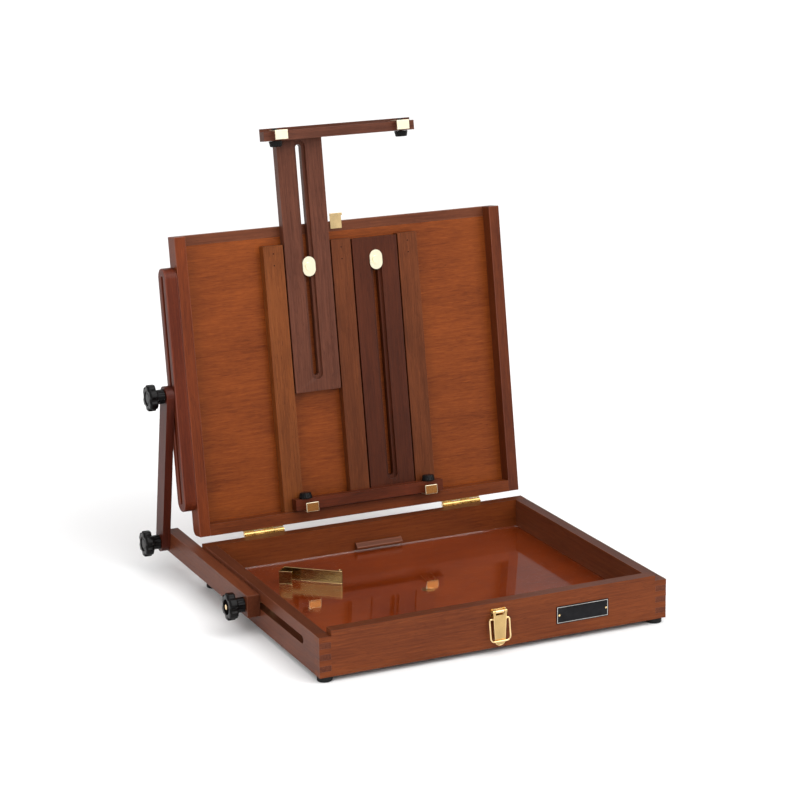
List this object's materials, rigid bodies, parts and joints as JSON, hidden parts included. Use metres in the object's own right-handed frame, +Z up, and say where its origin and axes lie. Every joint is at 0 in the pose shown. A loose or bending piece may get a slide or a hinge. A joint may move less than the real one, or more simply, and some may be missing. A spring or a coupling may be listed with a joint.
{
  "type": "box easel",
  "caption": "Table-top sketch-box easel: shallow wooden box with a palette, hinged lid with sliding masts and brass canvas clips, held open by a side arm and strut.",
  "frame": {"origin": "middle of the bounding box, on the plane the rubber feet stand on", "axes": "+Z up, +Y towards the hinged back, +X to the right of a painter facing the open box"},
  "size_m": [0.4664, 0.4588, 0.5222],
  "materials": {
    "wood_frame": "red-brown stain under clear varnish, satin",
    "wood_side": "grey-brown stained wood, satin varnish",
    "wood_panel": "orange-brown stained plywood, varnished",
    "wood_mast": "dark purple-brown stained wood, satin",
    "brass": "polished",
    "black_plastic": "moulded, semi-gloss",
    "black_plate": "black enamel with a pale border",
    "rubber": "matt",
    "acrylic": "clear sheet, polished"
  },
  "bodies": {
    "base": {"base_front_wall": "wood_frame", "base_back_wall": "wood_frame", "base_left_wall": "wood_side", "base_right_wall": "wood_side", "base_bottom_panel": "wood_panel", "rubber_feet": "rubber", "palette_cleat": "wood_frame", "tripod_insert": "brass", "tripod_insert_screws": "brass", "nameplate": "black_plate", "nameplate_rivets": "brass", "latch_plate": "brass", "latch_screws": "brass", "hinge_base_leaves": "brass", "hinge_pins": "brass", "hinge_base_screws": "brass"},
    "lid": {"hinge_lid_leaves": "brass", "hinge_lid_screws": "brass", "lid_left_wall": "wood_side", "lid_right_wall": "wood_side", "lid_bottom_rail": "wood_mast", "lid_top_rail": "wood_mast", "lid_panel": "wood_panel", "batten_left": "wood_frame", "batten_middle": "wood_frame", "batten_right": "wood_frame", "batten_nails": "wood_mast", "latch_strike": "brass", "side_rail": "wood_side", "mast_clamp_plates": "brass", "mast_bolts": "brass"},
    "rail_nut": {"rail_nut": "brass"},
    "mast_knob_left": {"mast_knob_left": "black_plastic"},
    "mast_knob_right": {"mast_knob_right": "black_plastic"},
    "upper_mast": {"upper_mast": "wood_mast", "top_holder_bar": "wood_mast", "bar_screws_top": "brass"},
    "lower_mast": {"lower_mast": "wood_mast", "ledge_bar": "wood_mast", "bar_screws_ledge": "brass"},
    "clip_top_left": {"clip_top_left": "brass"},
    "clip_top_right": {"clip_top_right": "brass"},
    "clip_ledge_left": {"clip_ledge_left": "brass"},
    "clip_ledge_right": {"clip_ledge_right": "brass"},
    "thumb_screw_top_left": {"thumb_screw_top_left": "black_plastic"},
    "thumb_screw_top_right": {"thumb_screw_top_right": "black_plastic"},
    "thumb_screw_ledge_left": {"thumb_screw_ledge_left": "black_plastic"},
    "thumb_screw_ledge_right": {"thumb_screw_ledge_right": "black_plastic"},
    "arm": {"lower_arm": "wood_side", "arm_bolt": "brass", "pivot_bolt": "brass"},
    "arm_knob": {"arm_knob": "black_plastic"},
    "pivot_knob": {"pivot_knob": "black_plastic"},
    "strut": {"strut": "wood_side", "rail_bolt": "brass"},
    "rail_knob": {"rail_knob": "black_plastic"},
    "palette": {"palette": "acrylic"},
    "brass_clip": {"brass_clip": "brass"},
    "latch_lever": {"latch_lever": "brass"},
    "latch_bail": {"latch_bail": "brass"}
  },
  "joints": [
    {"name": "lid_hinge", "type": "hinge", "parent": "base", "child": "lid", "pos_m": [0.02315, 0.13617, 0.0531], "axis": [1, 0, 0], "range_deg": [-20, 98.68]},
    {"name": "arm_slide", "type": "slide", "parent": "base", "child": "arm", "axis": [0, -1, 0], "range_m": [-0.0145, 0.0695]},
    {"name": "strut_pivot", "type": "hinge", "parent": "arm", "child": "strut", "pos_m": [-0.20685, 0.21157, 0.0345], "axis": [1, 0, 0], "range_deg": [-14.3, 69.9]},
    {"name": "rail_nut_slide", "type": "slide", "parent": "lid", "child": "rail_nut", "axis": [0, 0.1509, 0.9885], "range_m": [-0.002, 0.0095]},
    {"name": "upper_mast_slide", "type": "slide", "parent": "lid", "child": "upper_mast", "axis": [0, 0.1509, 0.9885], "range_m": [-0.138, 0.126]},
    {"name": "lower_mast_slide", "type": "slide", "parent": "lid", "child": "lower_mast", "axis": [0, 0.1509, 0.9885], "range_m": [0, 0.259]},
    {"name": "clip_top_left_slide", "type": "slide", "parent": "upper_mast", "child": "clip_top_left", "axis": [0, 0.9885, -0.1509], "range_m": [-0.0055, 0.002]},
    {"name": "clip_ledge_left_slide", "type": "slide", "parent": "lower_mast", "child": "clip_ledge_left", "axis": [0, 0.9885, -0.1509], "range_m": [-0.0055, 0.002]},
    {"name": "clip_top_right_slide", "type": "slide", "parent": "upper_mast", "child": "clip_top_right", "axis": [0, 0.9885, -0.1509], "range_m": [-0.0055, 0.002]},
    {"name": "clip_ledge_right_slide", "type": "slide", "parent": "lower_mast", "child": "clip_ledge_right", "axis": [0, 0.9885, -0.1509], "range_m": [-0.0055, 0.002]},
    {"name": "thumb_screw_top_left_turn", "type": "hinge", "parent": "upper_mast", "child": "thumb_screw_top_left", "pos_m": [-0.0536, 0.20144, 0.51312], "axis": [0, 0.1509, 0.9885], "continuous": true},
    {"name": "thumb_screw_ledge_left_turn", "type": "hinge", "parent": "lower_mast", "child": "thumb_screw_ledge_left", "pos_m": [-0.0521, 0.13563, 0.08009], "axis": [0, 0.1509, 0.9885], "continuous": true},
    {"name": "thumb_screw_top_right_turn", "type": "hinge", "parent": "upper_mast", "child": "thumb_screw_top_right", "pos_m": [0.1079, 0.20144, 0.51312], "axis": [0, 0.1509, 0.9885], "continuous": true},
    {"name": "thumb_screw_ledge_right_turn", "type": "hinge", "parent": "lower_mast", "child": "thumb_screw_ledge_right", "pos_m": [0.1094, 0.13563, 0.08009], "axis": [0, 0.1509, 0.9885], "continuous": true},
    {"name": "mast_knob_left_turn", "type": "hinge", "parent": "lid", "child": "mast_knob_left", "pos_m": [-0.02035, 0.21679, 0.35196], "axis": [0, 0.9885, -0.1509], "continuous": true},
    {"name": "mast_knob_right_turn", "type": "hinge", "parent": "lid", "child": "mast_knob_right", "pos_m": [0.06665, 0.21679, 0.35196], "axis": [0, 0.9885, -0.1509], "continuous": true},
    {"name": "arm_knob_turn", "type": "hinge", "parent": "arm", "child": "arm_knob", "pos_m": [-0.21285, -0.04143, 0.0344], "axis": [1, 0, 0], "continuous": true},
    {"name": "pivot_knob_turn", "type": "hinge", "parent": "arm", "child": "pivot_knob", "pos_m": [-0.22285, 0.21157, 0.0345], "axis": [1, 0, 0], "continuous": true},
    {"name": "rail_knob_turn", "type": "hinge", "parent": "strut", "child": "rail_knob", "pos_m": [-0.22285, 0.1747, 0.22334], "axis": [1, 0, 0], "continuous": true},
    {"name": "latch_lever_turn", "type": "hinge", "parent": "base", "child": "latch_lever", "pos_m": [0.02315, -0.22483, 0.0485], "axis": [-1, 0, 0], "range_deg": [0, 150]},
    {"name": "latch_bail_turn", "type": "hinge", "parent": "latch_lever", "child": "latch_bail", "pos_m": [0.02315, -0.22483, 0.0405], "axis": [1, 0, 0], "range_deg": [-167, 0]},
    {"name": "palette_tilt", "type": "hinge", "parent": "base", "child": "palette", "pos_m": [0.02315, 0.11687, 0.0148], "axis": [1, 0, 0], "range_deg": [-12, 0]},
    {"name": "brass_clip_lift", "type": "slide", "parent": "palette", "child": "brass_clip", "axis": [0, 0, -1], "range_m": [-0.04, 0]}
  ],
  "couplings": [
    {"joint": "arm_slide", "follows": "lid_hinge", "m_per_rad": 0.04},
    {"joint": "strut_pivot", "follows": "lid_hinge", "ratio": 0.7061},
    {"joint": "rail_nut_slide", "follows": "lid_hinge", "m_per_rad": 0.0054}
  ]
}
